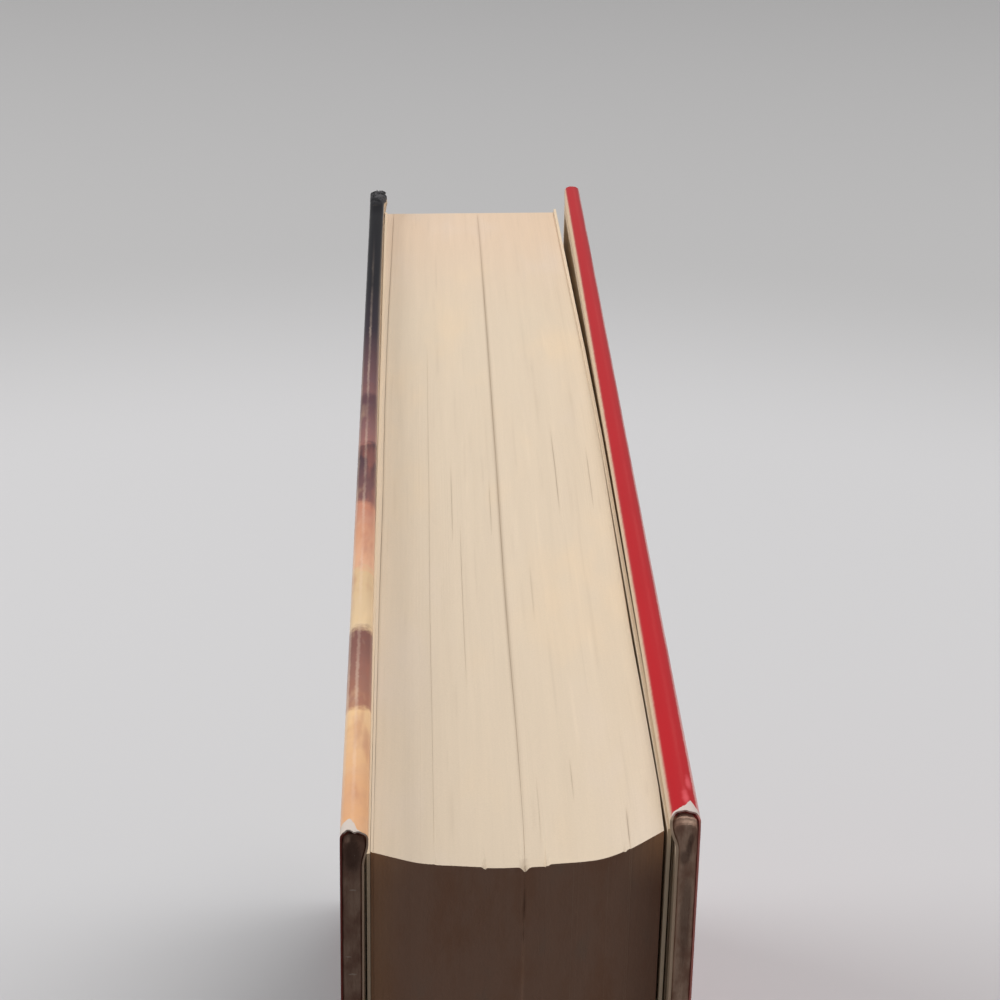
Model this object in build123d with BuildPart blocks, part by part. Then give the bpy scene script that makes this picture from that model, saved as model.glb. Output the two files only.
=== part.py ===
# Case-bound hardback book standing on its spine, fore-edge up. Millimetres.
# X runs through the thickness (front cover at -X), Y along the spine (tail at -Y), Z up.
from build123d import *
import os

os.makedirs("parts", exist_ok=True)

# Trimmed leaves
leaf_height = 215.0
leaf_width = 145.0
spine_thickness = 30.6
tail_thickness = 31.0
head_thickness = 29.2
sag = 1.9
tail_rise = 2.6
head_rise = 0.5

# Case of greyboard covered with one printed sheet
board_thickness = 2.1
sheet_thickness = 0.2
turn_in = 15.0
head_square = 3.5
tail_square = 2.0
fore_square = 3.3
joint_width = 8.0
cover_rise = 2.0
edge_round = 0.8
corner_round = 1.6
groove_round = 1.5
front_slack = 0.65
back_slack = 1.05

# Endpapers, spine lining and bands
endpaper_thickness = 0.15
endpaper_inset = 2.75
lining_thickness = 0.3
flange_thickness = 0.2
flange_height = 2.6
hollow_gap = 0.4
band_depth = 1.1
band_height = 2.2
band_tape = 8.0

# Clearances
hinge_gap = 0.35
leaf_clearance = 0.15
glue_line = 0.05

# Worn tail edge of the covers, and cracks between the leaves
worn_length = 42.0
worn_lip = 0.15
crack_width = 0.24
crack_depth = 0.8
crack_foot = 60.0
main_crack = 0.4
short_crack = 11.0
short_reach = 7.0

# Levels and places worked out from the sizes above
spine_board_top = sheet_thickness + board_thickness
lining_bottom = spine_board_top + hollow_gap
leaf_bottom = lining_bottom + lining_thickness
leaf_top = leaf_bottom + leaf_width
board_height = leaf_top + fore_square - sheet_thickness - spine_board_top - joint_width
joint_widths = {"front": joint_width - cover_rise / 2, "back": joint_width + cover_rise / 2}
hinge_levels = {name: spine_board_top + width / 2 for name, width in joint_widths.items()}

case_length = leaf_height + head_square + tail_square
half_length = case_length / 2
leaf_tail = tail_square - half_length
leaf_head = half_length - head_square

inner_face = (tail_thickness + front_slack + back_slack) / 2
board_inner = inner_face + sheet_thickness
board_outer = board_inner + board_thickness
outer_face = board_outer + sheet_thickness
block_middle = (front_slack - back_slack) / 2
window_half = half_length - turn_in
core_round = edge_round - sheet_thickness
core_corner = corner_round - sheet_thickness

left_spine = block_middle - spine_thickness / 2
right_spine = block_middle + spine_thickness / 2
left_tail = block_middle - tail_thickness / 2
right_tail = block_middle + tail_thickness / 2
left_head = block_middle - head_thickness / 2
right_head = block_middle + head_thickness / 2
flange_offset = endpaper_thickness + glue_line + flange_thickness
front_groove = -left_spine + flange_offset + glue_line
back_groove = right_spine + flange_offset + glue_line

# The book is cocked: its fore-edge rises from the front cover to the back cover
front_tail_top = leaf_top - tail_rise / 2
back_tail_top = leaf_top + tail_rise / 2
front_head_top = leaf_top - head_rise / 2
back_head_top = leaf_top + head_rise / 2
block_top = max(back_tail_top, back_head_top)

# How far the leaf ends droop at fractions of the way through the block
droop = [(0.0, 0.0), (0.17, 0.62), (0.43, 1.0), (0.72, 0.9), (0.88, 0.5), (1.0, 0.0)]


def sag_line(start, end):
    """Draw the drooping leaf ends from start to end, bowed by the sag in local -Y."""
    across = end[0] - start[0]
    along = end[1] - start[1]
    Spline([(start[0] + across * t, start[1] + along * t - sag * d) for t, d in droop])


def board_solid(length, inner, outer, bottom, top, rim, corner):
    """Make a board standing at +X, with rounded fore-edge corners and softened rims."""
    with BuildPart() as board:
        with BuildSketch(Plane.YZ.offset(inner)):
            with Locations((0, (bottom + top) / 2)):
                Rectangle(length, top - bottom)
        extrude(amount=outer - inner)
        fillet(board.edges().filter_by(Axis.X).group_by(Axis.Z)[-1], corner)
        sides = board.faces().filter_by(Axis.X)
        fillet(sides.edges(), rim)
    return board.part


# Text block: all the leaves as one solid, the middle ones drooping at the tail
with BuildPart() as text_block:
    with BuildSketch(Plane.XY.offset(leaf_bottom)):
        with BuildLine():
            Line((left_spine, leaf_tail), (right_spine, leaf_tail))
            Line((right_spine, leaf_tail), (right_spine, leaf_head))
            Line((right_spine, leaf_head), (left_spine, leaf_head))
            Line((left_spine, leaf_head), (left_spine, leaf_tail))
        make_face()
    with BuildSketch(Plane.XY.offset(block_top)):
        with BuildLine():
            sag_line((left_tail, leaf_tail), (right_tail, leaf_tail))
            Line((right_tail, leaf_tail), (right_head, leaf_head))
            Line((right_head, leaf_head), (left_head, leaf_head))
            Line((left_head, leaf_head), (left_tail, leaf_tail))
        make_face()
    loft(ruled=True)
    # The fore-edge rises towards the back cover, and sinks at the tail
    clear_top = block_top + fore_square
    for place, front_top, back_top in (
        (-half_length, front_tail_top, back_tail_top),
        (half_length, front_head_top, back_head_top),
    ):
        with BuildSketch(Plane.XZ.offset(-place)):
            with BuildLine():
                if place < 0:
                    sag_line((left_tail, front_top), (right_tail, back_top))
                else:
                    Line((left_tail, front_top), (right_tail, back_top))
                Line((right_tail, back_top), (right_tail, clear_top))
                Line((right_tail, clear_top), (left_tail, clear_top))
                Line((left_tail, clear_top), (left_tail, front_top))
            make_face()
    loft(ruled=True, mode=Mode.SUBTRACT)
    # Cracks where the leaves part, down the fore-edge and over the tail
    for place, reach in ((main_crack, leaf_head), (short_crack, leaf_tail + short_reach)):
        foot_level = leaf_bottom + crack_foot
        level_top = leaf_top + tail_rise * (place - block_middle) / tail_thickness
        sunk_top = level_top - sag * (leaf_head - reach) / leaf_height
        with BuildSketch(Plane.YZ.offset(place)):
            with BuildLine():
                Polyline(
                    (-case_length, foot_level),
                    (leaf_tail - sag * crack_foot / leaf_width, foot_level),
                    (leaf_tail - sag + crack_depth, level_top - sag - crack_depth),
                    (reach, sunk_top - crack_depth),
                    (reach, clear_top),
                    (-case_length, clear_top),
                    close=True,
                )
            make_face()
        extrude(amount=crack_width / 2, both=True, mode=Mode.SUBTRACT)
text_block.part.label = "text_block"
export_step(text_block.part, "parts/text_block.step")


# Covers: each a greyboard, its part of the printed sheet and its pastedown
for name, groove in (("front", front_groove), ("back", back_groove)):
    mirrored = name == "front"
    hinge_level = hinge_levels[name]
    board_bottom = spine_board_top + joint_widths[name]
    board_top = board_bottom + board_height
    cover_top = board_top + sheet_thickness
    window_top = cover_top - turn_in
    core = board_solid(
        case_length - 2 * sheet_thickness, board_inner, board_outer, board_bottom, board_top,
        core_round, core_corner,
    )
    skin = board_solid(
        case_length, inner_face, outer_face, board_bottom - sheet_thickness, cover_top,
        edge_round, corner_round,
    )

    with BuildPart() as board:
        add(core)
        if mirrored:
            mirror(about=Plane.YZ, mode=Mode.REPLACE)
    board.part.label = f"{name}_board"
    export_step(board.part, f"parts/{name}_board.step")

    with BuildPart() as cover_sheet:
        add(skin)
        add(core, mode=Mode.SUBTRACT)
        # The turned-in margins leave the inside of the board open
        with BuildSketch(Plane.YZ.offset(inner_face)):
            with Locations((0, (board_bottom - sheet_thickness + window_top) / 2)):
                Rectangle(2 * window_half, window_top - board_bottom + sheet_thickness)
        extrude(amount=sheet_thickness, mode=Mode.SUBTRACT)
        # Down from the board's foot into the pressed groove
        with BuildSketch(Plane.XZ):
            with BuildLine():
                FilletPolyline(
                    (groove, hinge_level + hinge_gap),
                    (groove, board_bottom),
                    (board_outer - edge_round, board_bottom),
                    radius=groove_round,
                )
                offset(amount=sheet_thickness, side=Side.RIGHT)
            make_face()
        extrude(amount=half_length, both=True)
        # The tail edge is worn through to the bare board
        with BuildSketch(Plane.XZ.offset(half_length - sheet_thickness - core_round)):
            with Locations(((board_inner + board_outer) / 2, board_top - worn_lip - worn_length / 2)):
                RectangleRounded(board_thickness - 2 * worn_lip, worn_length, core_round)
        extrude(amount=edge_round, mode=Mode.SUBTRACT)
        if mirrored:
            mirror(about=Plane.YZ, mode=Mode.REPLACE)
    cover_sheet.part.label = f"{name}_cover_sheet"
    export_step(cover_sheet.part, f"parts/{name}_cover_sheet.step")

    # The pastedown lies over the turn-ins, dips into the window and bends into the joint
    paper_half = half_length - endpaper_inset
    paper_top = cover_top - fore_square
    step_face = inner_face - endpaper_thickness
    with BuildPart() as pastedown:
        for face, top, half in ((inner_face, paper_top, paper_half), (board_inner, window_top, window_half)):
            with BuildSketch(Plane.XZ):
                with BuildLine():
                    FilletPolyline(
                        (groove, hinge_level + hinge_gap),
                        (groove, board_bottom - groove_round / 2),
                        (face, board_bottom + groove_round),
                        (face, top),
                        radius=groove_round,
                    )
                    offset(amount=endpaper_thickness, side=Side.LEFT)
                make_face()
            if face == inner_face:
                extrude(amount=half, both=True)
                with BuildSketch(Plane.YZ.offset(groove - endpaper_thickness)):
                    with Locations((0, (hinge_level + window_top) / 2)):
                        Rectangle(2 * window_half, window_top - hinge_level)
                extrude(amount=outer_face, mode=Mode.SUBTRACT)
            else:
                extrude(amount=half, both=True)
        with BuildSketch(Plane.YZ.offset(step_face)):
            with Locations((0, (board_bottom + groove_round + window_top) / 2)):
                Rectangle(2 * window_half, window_top - board_bottom - groove_round)
            with Locations((0, (board_bottom + groove_round + window_top - sheet_thickness) / 2)):
                Rectangle(
                    2 * (window_half - sheet_thickness),
                    window_top - sheet_thickness - board_bottom - groove_round,
                    mode=Mode.SUBTRACT,
                )
        extrude(amount=sheet_thickness + endpaper_thickness)
        if mirrored:
            mirror(about=Plane.YZ, mode=Mode.REPLACE)
    pastedown.part.label = f"{name}_pastedown"
    export_step(pastedown.part, f"parts/{name}_pastedown.step")


# Free endpapers: held at the shoulder, leaning out to the covers at the fore-edge
lean_face = inner_face - endpaper_thickness - leaf_clearance
for name, foot, tail_lean, sign, tail_top, head_top in (
    ("front", -left_spine, lean_face, -1, front_tail_top, front_head_top),
    ("back", right_spine, (lean_face + right_tail) / 2, 1, back_tail_top, back_head_top),
):
    with BuildPart() as flyleaf:
        with BuildSketch(Plane.XY.offset(leaf_bottom)):
            with BuildLine():
                Polyline(
                    (sign * foot, leaf_tail),
                    (sign * (foot + endpaper_thickness), leaf_tail),
                    (sign * (foot + endpaper_thickness), leaf_head),
                    (sign * foot, leaf_head),
                    close=True,
                )
            make_face()
        with BuildSketch(Plane.XY.offset(block_top)):
            with BuildLine():
                Polyline(
                    (sign * (tail_lean - endpaper_thickness), leaf_tail),
                    (sign * tail_lean, leaf_tail),
                    (sign * lean_face, leaf_head),
                    (sign * (lean_face - endpaper_thickness), leaf_head),
                    close=True,
                )
            make_face()
        loft(ruled=True)
        with BuildSketch(Plane.YZ):
            with BuildLine():
                Polyline(
                    (-half_length, tail_top),
                    (half_length, head_top),
                    (half_length, block_top + fore_square),
                    (-half_length, block_top + fore_square),
                    close=True,
                )
            make_face()
        extrude(amount=outer_face, both=True, mode=Mode.SUBTRACT)
    flyleaf.part.label = f"{name}_flyleaf"
    export_step(flyleaf.part, f"parts/{name}_flyleaf.step")


# Spine board, lying under the block
with BuildPart() as spine_board:
    with BuildSketch(Plane.XY.offset(sheet_thickness)):
        Rectangle(2 * board_outer, case_length - 2 * sheet_thickness)
    extrude(amount=board_thickness)
    fillet(spine_board.edges(), core_round)
spine_board.part.label = "spine_board"
export_step(spine_board.part, "parts/spine_board.step")

# Spine part of the printed sheet, wrapped over the board's ends and up into both grooves
with BuildPart() as spine_cover_sheet:
    with BuildSketch(Plane.XY):
        Rectangle(2 * outer_face, case_length)
    extrude(amount=spine_board_top + sheet_thickness)
    fillet(spine_cover_sheet.edges(), edge_round)
    add(spine_board.part, mode=Mode.SUBTRACT)
    with BuildSketch(Plane.XY.offset(spine_board_top)):
        with Locations(((back_groove - front_groove) / 2, 0)):
            Rectangle(front_groove + back_groove, 2 * window_half)
    extrude(amount=sheet_thickness, mode=Mode.SUBTRACT)
    for name, groove, outward in (("front", -front_groove, Side.RIGHT), ("back", back_groove, Side.LEFT)):
        foot_end = board_outer - edge_round if groove > 0 else edge_round - board_outer
        with BuildSketch(Plane.XZ):
            with BuildLine():
                FilletPolyline(
                    (groove, hinge_levels[name] - hinge_gap),
                    (groove, spine_board_top),
                    (foot_end, spine_board_top),
                    radius=groove_round,
                )
                offset(amount=sheet_thickness, side=outward)
            make_face()
        extrude(amount=half_length, both=True)
spine_cover_sheet.part.label = "spine_cover_sheet"
export_step(spine_cover_sheet.part, "parts/spine_cover_sheet.step")

# Lining glued to the block's spine, its edges turned up over both shoulders
with BuildPart() as spine_lining:
    lining_left = left_spine - flange_offset
    lining_right = right_spine + flange_offset
    with BuildSketch(Plane.XZ.offset(-(leaf_head - band_tape))):
        with BuildLine():
            Polyline(
                (lining_left, leaf_bottom + flange_height),
                (lining_left, lining_bottom),
                (lining_right, lining_bottom),
                (lining_right, leaf_bottom + flange_height),
                (lining_right - flange_thickness, leaf_bottom + flange_height),
                (lining_right - flange_thickness, leaf_bottom),
                (lining_left + flange_thickness, leaf_bottom),
                (lining_left + flange_thickness, leaf_bottom + flange_height),
                close=True,
            )
        make_face()
    extrude(amount=leaf_height - 2 * band_tape)
spine_lining.part.label = "spine_lining"
export_step(spine_lining.part, "parts/spine_lining.step")

# Bands: a sewn bead across each end of the block's spine, on a tape glued beneath it
for name, end, outward in (("head_band", leaf_head, 1), ("tail_band", leaf_tail, -1)):
    with BuildPart() as band:
        bead = end + outward * glue_line
        with BuildSketch(Plane.YZ.offset(left_spine)):
            with BuildLine():
                Line((bead, lining_bottom), (bead + outward * band_depth / 2, lining_bottom))
                ThreePointArc(
                    (bead + outward * band_depth / 2, lining_bottom),
                    (bead + outward * band_depth, leaf_bottom + band_height / 2),
                    (bead, leaf_bottom + band_height),
                )
                Line((bead, leaf_bottom + band_height), (bead, lining_bottom))
            make_face()
        extrude(amount=spine_thickness)
        with BuildSketch(Plane.XY.offset(lining_bottom)):
            with Locations((block_middle, bead - outward * band_tape / 2)):
                Rectangle(spine_thickness, band_tape)
        extrude(amount=lining_thickness)
    band.part.label = name
    export_step(band.part, f"parts/{name}.step")
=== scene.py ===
import math
import bpy
import numpy as np
from mathutils import Matrix, Vector


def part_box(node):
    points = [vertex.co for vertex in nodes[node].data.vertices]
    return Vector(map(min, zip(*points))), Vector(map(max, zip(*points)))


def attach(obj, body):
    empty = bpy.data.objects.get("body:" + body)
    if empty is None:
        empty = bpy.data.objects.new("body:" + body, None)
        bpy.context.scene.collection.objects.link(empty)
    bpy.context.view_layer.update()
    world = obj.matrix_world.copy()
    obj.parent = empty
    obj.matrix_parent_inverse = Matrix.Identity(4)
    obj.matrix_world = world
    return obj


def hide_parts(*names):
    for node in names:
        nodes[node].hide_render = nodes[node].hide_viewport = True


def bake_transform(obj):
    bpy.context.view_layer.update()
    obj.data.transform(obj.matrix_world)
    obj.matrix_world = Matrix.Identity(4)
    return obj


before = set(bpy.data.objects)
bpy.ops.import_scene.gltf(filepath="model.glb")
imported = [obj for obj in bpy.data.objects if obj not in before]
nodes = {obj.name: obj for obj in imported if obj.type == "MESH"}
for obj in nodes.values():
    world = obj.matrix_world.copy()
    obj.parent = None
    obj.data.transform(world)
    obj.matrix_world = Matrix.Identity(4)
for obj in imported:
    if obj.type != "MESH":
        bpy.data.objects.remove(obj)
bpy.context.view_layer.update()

mm = 0.001
print("frame loaded")


# Shader kit: sums on sockets, and one way to add any node
def sums(operation):  # an operator and its reflected form
    def forward(self, other):
        return self.paint.maths(operation, self, other)

    def reflected(self, other):
        return self.paint.maths(operation, other, self)

    return forward, reflected


class Wire:
    def __init__(self, paint, socket):
        self.paint, self.socket = paint, socket

    __add__, __radd__ = sums("ADD")
    __sub__, __rsub__ = sums("SUBTRACT")
    __mul__, __rmul__ = sums("MULTIPLY")
    __truediv__, __rtruediv__ = sums("DIVIDE")


def tone(red, green, blue):  # an sRGB colour, 0 to 255, as a socket wants it
    parts = [part / 255 for part in (red, green, blue)]
    line = [part / 12.92 if part <= 0.04045 else ((part + 0.055) / 1.055) ** 2.4 for part in parts]
    return line + [1.0]


class Paint:
    def __init__(self, owner):  # a material or a world
        owner.use_nodes = True
        self.owner, self.tree = owner, owner.node_tree
        self.tree.nodes.clear()
        self.spot = self.add("ShaderNodeTexCoord").outputs["Object"]

    def add(self, kind, settings=None, inputs=None):
        node = self.tree.nodes.new(kind)
        for key, value in (settings or {}).items():
            if key == "stops":
                self.setStops(node.color_ramp, value)
            else:
                setattr(node, key, value)
        for key, value in (inputs or {}).items():
            self.feed(node.inputs[key], value)
        return node

    def setStops(self, ramp, stops):
        while len(ramp.elements) > 1:
            ramp.elements.remove(ramp.elements[-1])
        ramp.elements[0].position, ramp.elements[0].color = stops[0]
        for position, colour in stops[1:]:
            ramp.elements.new(position).color = colour

    def feed(self, socket, value):
        if isinstance(value, Wire):
            value = value.socket
        if isinstance(value, bpy.types.NodeSocket):
            self.tree.links.new(value, socket)
        else:
            socket.default_value = value

    def maths(self, operation, *values):
        node = self.add("ShaderNodeMath", {"operation": operation}, dict(enumerate(values)))
        return Wire(self, node.outputs[0])

    def axes(self, vector=None):  # x, y and z of a place, in metres
        node = self.add("ShaderNodeSeparateXYZ", {}, {0: vector or self.spot})
        return [Wire(self, output) for output in node.outputs]

    def mark(self, name):  # a vector that the mesh carries, 0 where it has none
        return self.add("ShaderNodeAttribute", {"attribute_name": name}).outputs["Vector"]

    def vectorMath(self, operation, *values):
        return self.add("ShaderNodeVectorMath", {"operation": operation}, dict(enumerate(values)))

    def noise(self, scale, detail=2.0, roughness=0.5, vector=None):
        place = self.vectorMath("MULTIPLY", vector or self.spot, scale).outputs[0]
        inputs = {"Vector": place, "Scale": 1.0, "Detail": detail, "Roughness": roughness}
        return Wire(self, self.add("ShaderNodeTexNoise", {}, inputs).outputs["Fac"])

    def rise(self, value, low, high):  # 0 below low, 1 above high, smooth between
        inputs = {"Value": value, "From Min": low, "From Max": high}
        node = self.add("ShaderNodeMapRange", {"interpolation_type": "SMOOTHSTEP"}, inputs)
        return Wire(self, node.outputs["Result"])

    def mix(self, share, first, second, blend="MIX"):  # a tuple is an sRGB colour
        first, second = (tone(*side) if isinstance(side, tuple) else side for side in (first, second))
        settings = {"data_type": "RGBA", "blend_type": blend}
        return self.add("ShaderNodeMix", settings, {0: share, 6: first, 7: second}).outputs[2]

    def layers(self, values, colour, *layers):  # shares and names of colours, one over the other
        for share, name in layers:
            colour = self.mix(share, colour, values[name])
        return colour

    def dim(self, colour, level):  # a colour times a number
        grey = self.add("ShaderNodeCombineColor", {}, {0: level, 1: level, 2: level}).outputs[0]
        return self.mix(1.0, colour, grey, "MULTIPLY")

    def ramp(self, value, stops):
        return self.add("ShaderNodeValToRGB", {"stops": stops}, {0: value}).outputs["Color"]

    def bump(self, height, distance, strength):
        inputs = {"Height": height, "Distance": distance, "Strength": strength}
        return self.add("ShaderNodeBump", {}, inputs).outputs["Normal"]

    def near(self, centre, radii):  # 0 at the centre of an ellipsoid in mm, 1 on it
        centre, radii = ([part * mm for part in parts] for parts in (centre, radii))
        offset = self.vectorMath("SUBTRACT", self.spot, centre).outputs[0]
        scaled = self.vectorMath("DIVIDE", offset, radii).outputs[0]
        return Wire(self, self.vectorMath("LENGTH", scaled).outputs["Value"])

    def finish(self, **sockets):
        for name, value in sockets.items():
            self.feed(self.shader.inputs[name.replace("_", " ")], value)
        return self.owner


def newPaint(name, finish):
    paint = Paint(bpy.data.materials.new(name))
    paint.shader = paint.add("ShaderNodeBsdfPrincipled", {}, finish)
    paint.add("ShaderNodeOutputMaterial", {}, {"Surface": paint.shader.outputs["BSDF"]})
    return paint


# Mesh helpers
def addObject(name, data):
    holder = bpy.data.objects.new(name, data)
    bpy.context.scene.collection.objects.link(holder)
    return holder


def makePiece(name, points, faces, material, smooth=False):
    mesh = bpy.data.meshes.new(name)
    mesh.from_pydata([tuple(point) for point in points], [], [tuple(face) for face in faces])
    mesh.validate()
    mesh.materials.append(material)
    mesh.polygons.foreach_set("use_smooth", [smooth] * len(mesh.polygons))
    mesh.update()
    return addObject(name, mesh)


def gridFaces(rows, columns, start=0, flip=False):
    first = start + np.arange(rows - 1)[:, None] * columns + np.arange(columns - 1)[None, :]
    quads = np.stack([first, first + 1, first + columns + 1, first + columns], axis=-1).reshape(-1, 4)
    return (quads[:, ::-1] if flip else quads).tolist()


def clouds(first, second, seed):  # smooth noise from 0 to 1, a cell for each unit
    size = 64
    table = np.random.default_rng(seed).uniform(0, 1, (size, size))
    first, second = np.broadcast_arrays(first, second)
    column, row = np.floor(first).astype(int), np.floor(second).astype(int)
    right, up = first - column, second - row
    right, up = right * right * (3 - 2 * right), up * up * (3 - 2 * up)
    low, high = (
        table[column % size, line % size] * (1 - right) + table[(column + 1) % size, line % size] * right
        for line in (row, row + 1)
    )
    return low * (1 - up) + high * up


def along(places, pairs):  # a line through pairs of place and value
    return np.interp(places, *zip(*pairs))


def addMarks(piece, name, marks):  # a vector for each point, for the material to read
    place = piece.data.attributes.new(name, "FLOAT_VECTOR", "POINT")
    place.data.foreach_set("vector", np.asarray(marks, dtype=np.float32).ravel())


def ripple(places, waves, seed):  # a smooth random line of about unit height
    chance = np.random.default_rng(seed)
    total = np.zeros_like(places)
    for length in waves:
        size = chance.uniform(0.5, 1.0)
        total = total + size * np.sin(2 * math.pi * places / length + chance.uniform(0, 2 * math.pi))
    return total / len(waves)


# Leaf edges of the text block
leafPaint = {
    "cream": (216, 198, 175),
    "headPeach": (218, 193, 168),
    "shaded": (202, 184, 160),
    # the tail face's tones: browned paper, darkened further as painted shade
    "tailBrownAndShade": (158, 123, 104),
    "tailWarm": (150, 108, 84),
    "tailGrey": (150, 124, 108),
    "tailCorner": (196, 150, 112),
    "tailDark": (116, 84, 70),
    "headBrown": (186, 158, 134),
    "warm": (229, 203, 170),
    "cool": (218, 202, 188),
    "dirtAndCrackShade": (150, 130, 112),
    "streak": 0.02,  # how much leaves, bundles and fibres differ
    "bundle": 0.05,
    "grain": 0.06,
    "shadedShare": 0.15,
    "blotchShare": 0.4,
    "mottleShare": 0.6,
    "cornerShare": 0.55,
    "backDark": 0.4,
    "frontWarm": 0.35,
}


def paintLeaves(values):
    paint = newPaint("leafEdges", {"Roughness": 0.85, "Specular IOR Level": 0.25})
    x, y, z = paint.axes()
    leaf, shade = paint.mark("leafPlace"), paint.axes(paint.mark("leafShade"))[0]
    streak = paint.noise((0.9, 0.10, 0.10), 3.0, 0.6, leaf)
    bundle = paint.noise((0.10, 0.025, 0.025), 3.0, 0.6, leaf)
    speck = paint.noise((5200, 5200, 5200), 2.0, 0.6)
    blotch = paint.noise((70, 22, 22), 3.0, 0.6)
    mottle = paint.noise((240, 240, 90), 4.0, 0.65)
    base = paint.layers(
        values, values["cream"],
        (paint.rise(y, 45 * mm, 105 * mm), "headPeach"),
        (paint.rise(x, 8 * mm, 16 * mm) * values["shadedShare"], "shaded"),
        (paint.rise(blotch, 0.52, 0.75) * values["blotchShare"], "warm"),
        ((1 - paint.rise(blotch, 0.25, 0.48)) * values["blotchShare"], "cool"),
    )
    upper = paint.rise(z, 142 * mm, 148 * mm)
    outward = paint.rise(paint.maths("ABSOLUTE", x), 10 * mm, 15.5 * mm)
    # the tail face: browned paper, with painted shade darkening the whole face
    tail = paint.layers(
        values, values["tailBrownAndShade"],
        (paint.rise(mottle, 0.45, 0.7) * values["mottleShare"], "tailWarm"),
        ((1 - paint.rise(mottle, 0.3, 0.45)) * values["mottleShare"], "tailGrey"),
        (outward * upper * values["cornerShare"], "tailCorner"),
        (paint.rise(x, 9 * mm, 14.5 * mm) * (1 - upper) * values["backDark"], "tailDark"),
        (paint.rise(0 - x, 12 * mm, 15.2 * mm) * (1 - upper) * values["frontWarm"], "tailCorner"),
    )
    facing = paint.axes(paint.add("ShaderNodeNewGeometry").outputs["True Normal"])[1]
    base = paint.mix(paint.rise(0 - facing, 0.3, 0.8), base, tail)
    base = paint.mix(paint.rise(facing, 0.3, 0.8), base, values["headBrown"])
    # grime, and painted shade along the cracks, from the leafShade marks
    base = paint.mix(paint.maths("MAXIMUM", shade, 0.0), base, values["dirtAndCrackShade"], "MULTIPLY")
    level = 1 + (streak - 0.5) * values["streak"] * 2 + (bundle - 0.5) * values["bundle"] * 2
    level = level + (speck - 0.5) * values["grain"] * 2 - paint.maths("MINIMUM", shade, 0.0)
    normal = paint.bump(streak * 0.4 + speck * 0.6, 0.02 * mm, 0.3)
    return paint.finish(Base_Color=paint.dim(base, level), Normal=normal)


# Paper of the endpapers
paperPaint = {"colour": (222, 203, 178), "fold": (186, 160, 132), "foldShare": 0.14, "grain": 0.05}


def paintEndpaper(values):
    paint = newPaint("endpaper", {"Roughness": 0.8, "Specular IOR Level": 0.3})
    fibre = paint.noise((900, 900, 900), 5.0, 0.7)
    cloud = paint.noise((35, 35, 35), 2.0)
    folded = paint.rise(cloud, 0.35, 0.75) * values["foldShare"]
    colour = paint.mix(folded, values["colour"], values["fold"])
    colour = paint.dim(colour, 1 + (fibre - 0.5) * values["grain"] * 2)
    return paint.finish(Base_Color=colour, Normal=paint.bump(fibre, 0.02 * mm, 0.5))


# Bare greyboard at the worn ends
boardPaint = {
    "pale": (214, 180, 158),
    "brown": (162, 124, 106),
    "dark": (86, 62, 53),
    "fleck": (228, 216, 200),
    "layerShare": 0.4,
    "fleckShare": 0.5,
}
frontBoardPaint = {
    # painted shade over the whole front board end
    "paintedShade": 0.5,
    "lowDark": 0.0,
    "patches": (  # place and radii in mm, tone and share
        ((-17.6, -110, 147.5), (1.4, 3, 3.4), "dark", 0.85),
        ((-18.1, -110, 149.3), (0.5, 3, 0.6), "pale", 0.25),
        ((-17.5, -110, 143.1), (0.45, 3, 0.12), "fleck", 0.3),
        ((-18.0, -110, 134.8), (0.4, 3, 0.12), "fleck", 0.25),
        ((-17.6, -110, 132.5), (0.5, 3, 0.12), "fleck", 0.35),
    ),
}
backBoardPaint = {
    "paintedShade": 0.0,
    "lowDark": 0.12,
    "patches": (
        ((16.75, -110, 139), (0.4, 3, 12), "pale", 0.45),
        ((17.7, -110, 139), (0.65, 3, 7), "dark", 0.5),
        ((17.55, -110, 151.4), (1.2, 3, 0.8), "pale", 0.6),
        ((17.95, -110, 149.3), (0.35, 3, 1.0), "dark", 0.6),
        ((17.75, -110, 148.2), (0.4, 3, 1.2), "dark", 0.7),
        ((17.35, -110, 147.0), (0.7, 3, 1.1), "dark", 0.6),
    ),
}


def paintBoard(name, values, own):
    paint = newPaint(name, {"Roughness": 0.92, "Specular IOR Level": 0.2})
    fibre = paint.noise((1600, 700, 700), 5.0, 0.75)
    lump = paint.noise((420, 260, 260), 3.0, 0.6)
    layer = paint.noise((2600, 160, 60), 2.0, 0.5)
    lower = 1 - paint.rise(paint.axes()[2], 143 * mm, 147.5 * mm)
    colour = paint.layers(
        values, values["pale"],
        (paint.rise(lump, 0.35, 0.68), "brown"),
        (paint.rise(layer, 0.45, 0.75) * values["layerShare"], "brown"),
        # painted shade over a whole board end, and darker towards the bottom
        (own["paintedShade"] + lower * own["lowDark"], "dark"),
    )
    ragged = (lump - 0.5) * 1.1 + (fibre - 0.5) * 0.8
    for place, radii, shade, share in own["patches"]:
        patch = 1 - paint.rise(paint.near(place, radii) + ragged, 0.35, 1.1)
        colour = paint.mix(patch * share, colour, values[shade])
    flecks = paint.rise(paint.noise((2300, 900, 900), 3.0, 0.7), 0.70, 0.76)
    colour = paint.mix(flecks * values["fleckShare"], colour, values["fleck"])
    normal = paint.bump(fibre * 0.6 + lump * 0.4, 0.12 * mm, 0.8)
    return paint.finish(Base_Color=colour, Normal=normal)


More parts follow.
